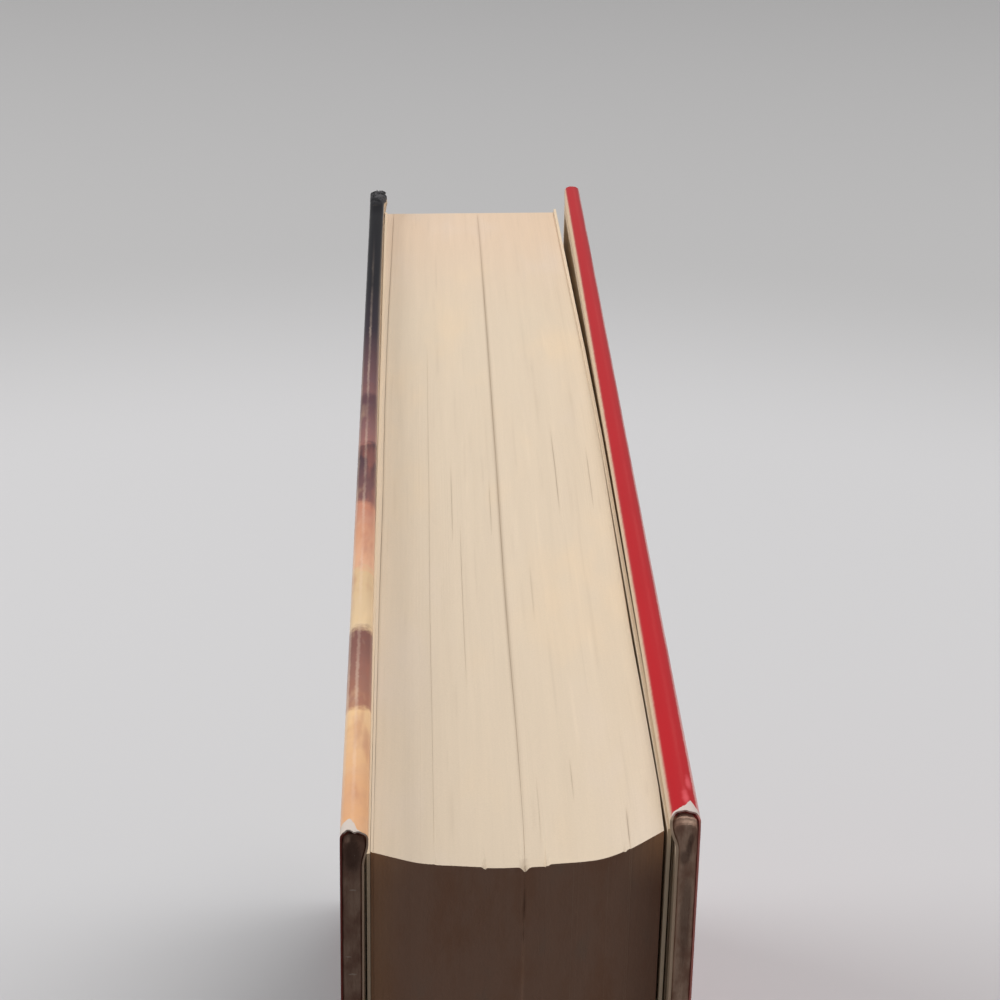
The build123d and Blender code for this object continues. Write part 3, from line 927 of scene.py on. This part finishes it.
def buildCase(name, node, body, values, own, material):
    top, foot, side = own["top"], own["foot"], own["side"]
    shoulder = top - values["rimDrop"]
    worn = top - values["wornLength"]
    bend, heel = values["grooveRound"], values["footRound"]
    low = np.concatenate([np.linspace(foot + heel, worn - 3, 14), np.linspace(worn - 2.6, shoulder, 120)])
    turn = np.radians(np.linspace(0, 90, 6))[1:]
    groove = own["groove"] + values["sheet"]
    lead = [(groove, own["hinge"] + rise) for rise in (values["jointHalf"], values["shoulderRise"])]
    lead += [(groove, foot - bend)]
    lead += [(groove + bend * (1 - math.cos(way)), foot - bend + bend * math.sin(way)) for way in turn]
    heelPlace = values["outer"] - heel
    lead += [(heelPlace + heel * math.sin(way), foot + heel * (1 - math.cos(way))) for way in turn]
    lead = np.array(lead)
    swing = np.radians(np.linspace(-90, 90, 43))
    # for each column: its level, and how far over the rim it is, from 0 outside to 1 inside
    level = np.concatenate([lead[:, 1], low, np.full(len(swing) - 2, shoulder), low[::-1]])
    crossing = (np.sin(swing[1:-1]) + 1) / 2
    over = np.concatenate([np.zeros(len(lead) + len(low)), crossing, np.ones(len(low))])
    middle = len(lead) + len(low) + (len(swing) - 2) // 2
    steps = np.concatenate([np.linspace(*span) for span in values["steps"]])
    isWorn = smooth(level, worn - 1.2, worn + 0.6)
    torn = 0.06 + 0.12 * smooth(level, shoulder - 1.5, shoulder)
    torn = torn * (clouds(level * 0.9 + over * 11, 3.0, 5) - 0.3)
    lost = along(over, own["shellEnd"]) * smooth(level, shoulder - 2, shoulder)
    shellEnd = isWorn * (0.1 + torn + lost)
    printEnd = along(over, own["printEnd"]) * smooth(level, shoulder - 1.2, shoulder)
    printEnd = np.maximum(printEnd, shellEnd - 0.3)
    printEnd = np.where(isWorn > 0.02, printEnd, -3.0)
    t = 2 * over - 1  # -1 outside, 1 inside
    onRim = (over > 0) & (over < 1)
    arch = np.sqrt(np.clip(1 - np.abs(t) ** values["rimPower"], 0, 1)) * onRim
    path = np.where(over > 0, (over - 1) * values["rimPath"], level - shoulder - values["rimPath"])
    path = np.where(over >= 1, shoulder - level, path)
    lip = smooth(level, top - values["lip"], top - values["lipFull"])
    points, marks, cuts = [], [], []
    for step in steps:
        e = step + shellEnd * max(0.0, 1 - step / 6.0)
        y = -values["end"] + e
        fromHead = 2 * values["end"] - e
        edge = roundOff(e, values["endRound"]) * (1 - isWorn) + roundOff(fromHead, values["endRound"])
        fall = roundOff(e, 0.5) * 0.6 + roundOff(fromHead, own["headCorner"])
        lift = own["headLift"] * smooth(y, 98, 110) * smooth(level, top - 8, top)
        fall = fall * smooth(level, top - 14, top - 4) - lift
        inner = values["inner"] - (values["inner"] - along(y, own["rimInner"])) * lip
        inWindow = (level < top - values["turnIn"]) & (np.abs(y) < values["end"] - values["turnIn"])
        outer, inner = values["outer"] - edge, inner + inWindow * values["window"] + edge
        u = (outer + inner) / 2 - (outer - inner) / 2 * t
        z = level - fall + values["rimDrop"] * arch
        u[:len(lead)] = lead[:, 0] - edge[:len(lead)] * (lead[:, 0] > groove + bend + 0.1)
        if own["fray"]:
            frayed = own["fray"] * smooth(y, 103, 109.6) * smooth(level, top - 9, top - 2)
            rough = clouds(level * 2.2 + over * 14, y * 1.6, 23) - 0.62
            rough = rough + 0.5 * (clouds(over * 30 + level * 5, y * 5, 29) - 0.5)
            u = np.minimum(u + frayed * rough * (1 - 2 * over), values["outer"])
            z = z + frayed * (rough - 0.1) * 1.4
            flare = own["flare"] * smooth(y, 105.2, 107.4) * smooth(over, 0.35, 1.0)
            flare = flare * smooth(level, top - 5, top - 1.5)
            u = u - flare * (0.35 + 0.9 * clouds(over * 9 + level * 1.7, y * 1.9, 37))
        z = z - 0.05 * clouds(over * 4, y * 0.12, 31) * onRim
        points.append(np.stack([side * u, y, z], axis=1))
        # path + 1, because a mesh without these marks reads 0
        marks.append(np.stack([path + 1, e - printEnd - 0.2, path + values["rimPath"]], axis=1))
        cuts.append(np.stack([0 * over, over, 0 * over], axis=1))
    columns = len(level)
    faces = gridFaces(len(steps), columns, 0, side > 0)
    # the sheet's cut edge and underside where it is worn through
    wornColumns = np.nonzero(isWorn > 0.5)[0]
    first, t = points[0][wornColumns], t[wornColumns]
    thick = values["sheet"] + (own["innerThick"] - values["sheet"]) * smooth(t, 0.8, 1.0)
    inward = np.stack([side * t, np.zeros(len(t)), -np.sqrt(np.clip(1 - t ** 2, 0, 1))], axis=1)
    under = first + inward * thick[:, None]
    back = under + np.array([0, 0.45, 0])
    fill = back + inward * 0.4
    start = sum(len(row) for row in points)
    points += [first, under, back, fill]
    marks += [np.full((len(wornColumns), 3), -3.0)] * 4
    for depth in (0.0, 0.7, 1.0, 1.0):
        cuts.append(np.stack([np.ones(len(t)), over[wornColumns], np.full(len(t), depth)], axis=1))
    faces += gridFaces(4, len(wornColumns), start, side < 0)
    # both ends closed between the outer and inner columns
    reach = min(middle, columns - 1 - middle)
    for row, flip in ((0, side > 0), (len(steps) - 1, side < 0)):
        for hop in range(reach):
            outside, inside = row * columns + middle - hop, row * columns + middle + hop
            if row == 0 and isWorn[middle - hop] > 0.5:
                continue
            quad = [outside, inside, inside + 1, outside - 1]
            faces.append(quad[::-1] if flip else quad)
    piece = makePiece(name, np.concatenate(points) * mm, faces, material, True)
    addMarks(piece, "coverPlace", np.concatenate(marks))
    addMarks(piece, "coverCut", np.concatenate(cuts))
    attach(piece, body)
    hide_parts(node)
    print(name, len(faces), "faces")


def buildBoard(name, node, body, values, own, material):
    top, side = own["top"] - values["capDrop"], own["side"]
    worn = own["top"] - values["wornLength"]
    across = np.linspace(0, 1, 22)
    coarse = np.linspace(0, 1, 9)[:-1] * (worn - 4 - own["foot"]) + own["foot"] + 0.3
    heights = np.concatenate([coarse, np.linspace(worn - 4, top, 230)])
    share = (heights - heights[0]) / (top - heights[0])
    shareGrid, acrossGrid = np.meshgrid(share, across, indexing="ij")
    t = 2 * acrossGrid - 1
    arch = values["capArch"] * (1 - np.sqrt(np.clip(1 - np.abs(t) ** 2.3, 0, 1)))
    z = heights[0] + (top - arch - heights[0]) * shareGrid
    wide = own["boardOuter"] - own["boardInner"]
    lip = smooth(z, own["top"] - values["lip"], own["top"] - values["lipFull"])
    swollen = (values["inner"] - own["rimInner"][0][1]) * lip
    u = own["boardInner"] + wide * acrossGrid - swollen * (1 - acrossGrid)
    bare = smooth(z, worn - 0.5, worn + 0.8)
    fibres = clouds(u * 7, z * 0.8, 51) * 0.6 + clouds(u * 14, z * 3.1, 53) * 0.4
    lumps = clouds(u * 1.3, z * 0.45, 57)
    y = -values["end"] + 0.05 + (1 - bare) * 0.9 + fibres * 0.13 + lumps ** 2 * 0.22
    y = y + 0.35 * smooth(np.abs(t), 0.8, 1.0) ** 2 + 0.5 * smooth(z, top - arch - 0.9, top - arch) ** 2
    z = z + (clouds(u * 5, z * 2, 61) - 0.5) * 0.12
    cap = np.stack([side * u, y, z], axis=-1)
    rows, columns = shareGrid.shape
    rim = rimOf(rows, columns)
    inside = cap.reshape(-1, 3)[rim]
    inside[:, 0] = side * np.maximum(side * inside[:, 0], own["boardInner"])
    inside[:, 1] = -values["end"] + 2.0
    inside[:, 2] = np.minimum(inside[:, 2] + 0.1, top)
    far = inside.copy()
    far[:, 1] = values["end"] - 1.2
    points = np.concatenate([cap.reshape(-1, 3), inside, far])
    size, count, flip = rows * columns, len(rim), side < 0
    near, last = (list(range(start, start + count)) for start in (size, size + count))
    faces = gridFaces(rows, columns, 0, flip) + joinRings(rim, near, flip) + joinRings(near, last, flip)
    faces.append(last[::-1] if flip else last)
    piece = makePiece(name, points * mm, faces, material)
    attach(piece, body)
    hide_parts(node)


def buildJoint(name, own, offsets, material):
    # a strip of paper across the cover joint
    side, hinge, half = own["side"], own["hinge"], cover["jointHalf"]
    inner, outer = (own["groove"] + offset for offset in offsets)
    levels = np.linspace(hinge - half, hinge + half, 9)
    reach = cover["end"] - cover["jointInset"]
    ends = np.linspace(-reach, reach, 30)
    points, faces = [], []
    for number, u in enumerate((outer, inner)):
        endGrid, levelGrid = np.meshgrid(ends, levels, indexing="ij")
        face = np.stack([np.full_like(endGrid, side * u), endGrid, levelGrid], axis=-1)
        points.append(face.reshape(-1, 3))
        flip = (number == 1) != (side < 0)
        faces += gridFaces(len(ends), len(levels), number * endGrid.size, flip)
    total = len(ends) * len(levels)
    for row in (0, len(ends) - 1):
        for column in range(len(levels) - 1):
            first = row * len(levels) + column
            quad = [first, first + 1, first + 1 + total, first + total]
            faces.append(quad if (row == 0) == (side > 0) else quad[::-1])
    piece = makePiece(name, np.concatenate(points) * mm, faces, material, True)
    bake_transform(piece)


print("covers")
sheetPlaces, paperPlaces = cover["jointSheet"], cover["jointPaper"]
buildCase("frontCase", "front_cover_sheet", "front_cover", cover, frontCover, printMaterial)
buildCase("backCase", "back_cover_sheet", "back_cover", cover, backCover, redMaterial)
buildBoard("frontBoard", "front_board", "front_cover", cover, frontCover, frontBoardMaterial)
buildBoard("backBoard", "back_board", "back_cover", cover, backCover, backBoardMaterial)
buildJoint("frontJointSheet", frontCover, sheetPlaces, printMaterial)
buildJoint("backJointSheet", backCover, sheetPlaces, redMaterial)
buildJoint("frontJointPaper", frontCover, paperPlaces, paperMaterial)
buildJoint("backJointPaper", backCover, paperPlaces, paperMaterial)


# Floor, lights, world and camera
stage = {
    "floorSize": 6.0,
    "pale": (204, 203, 204),
    "grey": (186, 185, 185),
    "fadeStart": 0.35,
    "fadeEnd": 0.53,
    "bounce": 0.38,
    "worldLight": 0.26,
    "worldSeen": (182, 181, 181),
}
lamps = {  # place and target in metres, size, and power in watts
    "keyLamp": ((0.34, 0.3, 1.5), (0, 0.03, 0.1), 0.8, 13.9),
    "leftLamp": ((-1.2, 0.35, 0.7), (0, 0, 0.08), 0.7, 11.2),
    "rightLamp": ((1.2, 0.35, 0.7), (0, 0, 0.08), 0.7, 3.2),
}


def buildFloor(values):
    half = values["floorSize"] / 2
    corners = [(-half, -half, 0), (half, -half, 0), (half, half, 0), (-half, half, 0)]
    paint = newPaint("floorPaper", {"Roughness": 0.9, "Specular IOR Level": 0.1})
    x, y, z = paint.axes()
    reach = paint.maths("SQRT", x * x + y * y)
    # painted pool of light: the floor is paler near the book and fades to grey further out
    fade = paint.rise(reach, values["fadeStart"], values["fadeEnd"])
    pale = paint.mix(fade, values["pale"], values["grey"])
    path = paint.add("ShaderNodeLightPath").outputs
    seen = paint.maths("MAXIMUM", path["Is Camera Ray"], path["Is Glossy Ray"])
    colour = paint.mix(seen, paint.dim(pale, values["bounce"]), pale)
    floor = makePiece("floor", corners, [(0, 1, 2, 3)], paint.finish(Base_Color=colour))


def addLamp(name, place, target, size, power):
    lamp = bpy.data.lights.new(name, "AREA")
    lamp.size = size
    lamp.energy = power
    holder = addObject(name, lamp)
    holder.location = place
    holder.rotation_euler = (Vector(target) - Vector(place)).to_track_quat("-Z", "Y").to_euler()


def setWorld(values):
    paint = Paint(bpy.data.worlds.new("studio"))
    bpy.context.scene.world = paint.owner
    light = paint.add("ShaderNodeBackground", {}, {"Strength": values["worldLight"]}).outputs[0]
    seen = paint.add("ShaderNodeBackground", {}, {"Color": tone(*values["worldSeen"])}).outputs[0]
    isCamera = paint.add("ShaderNodeLightPath").outputs["Is Camera Ray"]
    either = paint.add("ShaderNodeMixShader", {}, {0: isCamera, 1: light, 2: seen})
    paint.add("ShaderNodeOutputWorld", {}, {"Surface": either.outputs[0]})


camera = {  # place and lens in mm, turns in degrees
    "place": (-11.91, -344.19, 292.92),
    "yaw": 2.221,
    "pitch": 24.098,
    "roll": 1.131,
    "lens": 93.98,
    "sensor": 36.0,
}


def addCamera(values):
    data = bpy.data.cameras.new("camera")
    data.lens = values["lens"]
    data.sensor_width = values["sensor"]
    holder = addObject("camera", data)
    turn = Matrix.Rotation(math.radians(-values["yaw"]), 4, "Z")
    nod = Matrix.Rotation(math.radians(90 - values["pitch"]), 4, "X")
    tilt = Matrix.Rotation(math.radians(values["roll"]), 4, "Z")
    holder.matrix_world = Matrix.Translation(Vector(values["place"]) * mm) @ turn @ nod @ tilt
    bpy.context.scene.camera = holder


print("stage")
buildFloor(stage)
setWorld(stage)
for name, lamp in lamps.items():
    addLamp(name, *lamp)
addCamera(camera)
bpy.context.scene.view_settings.view_transform = "Standard"
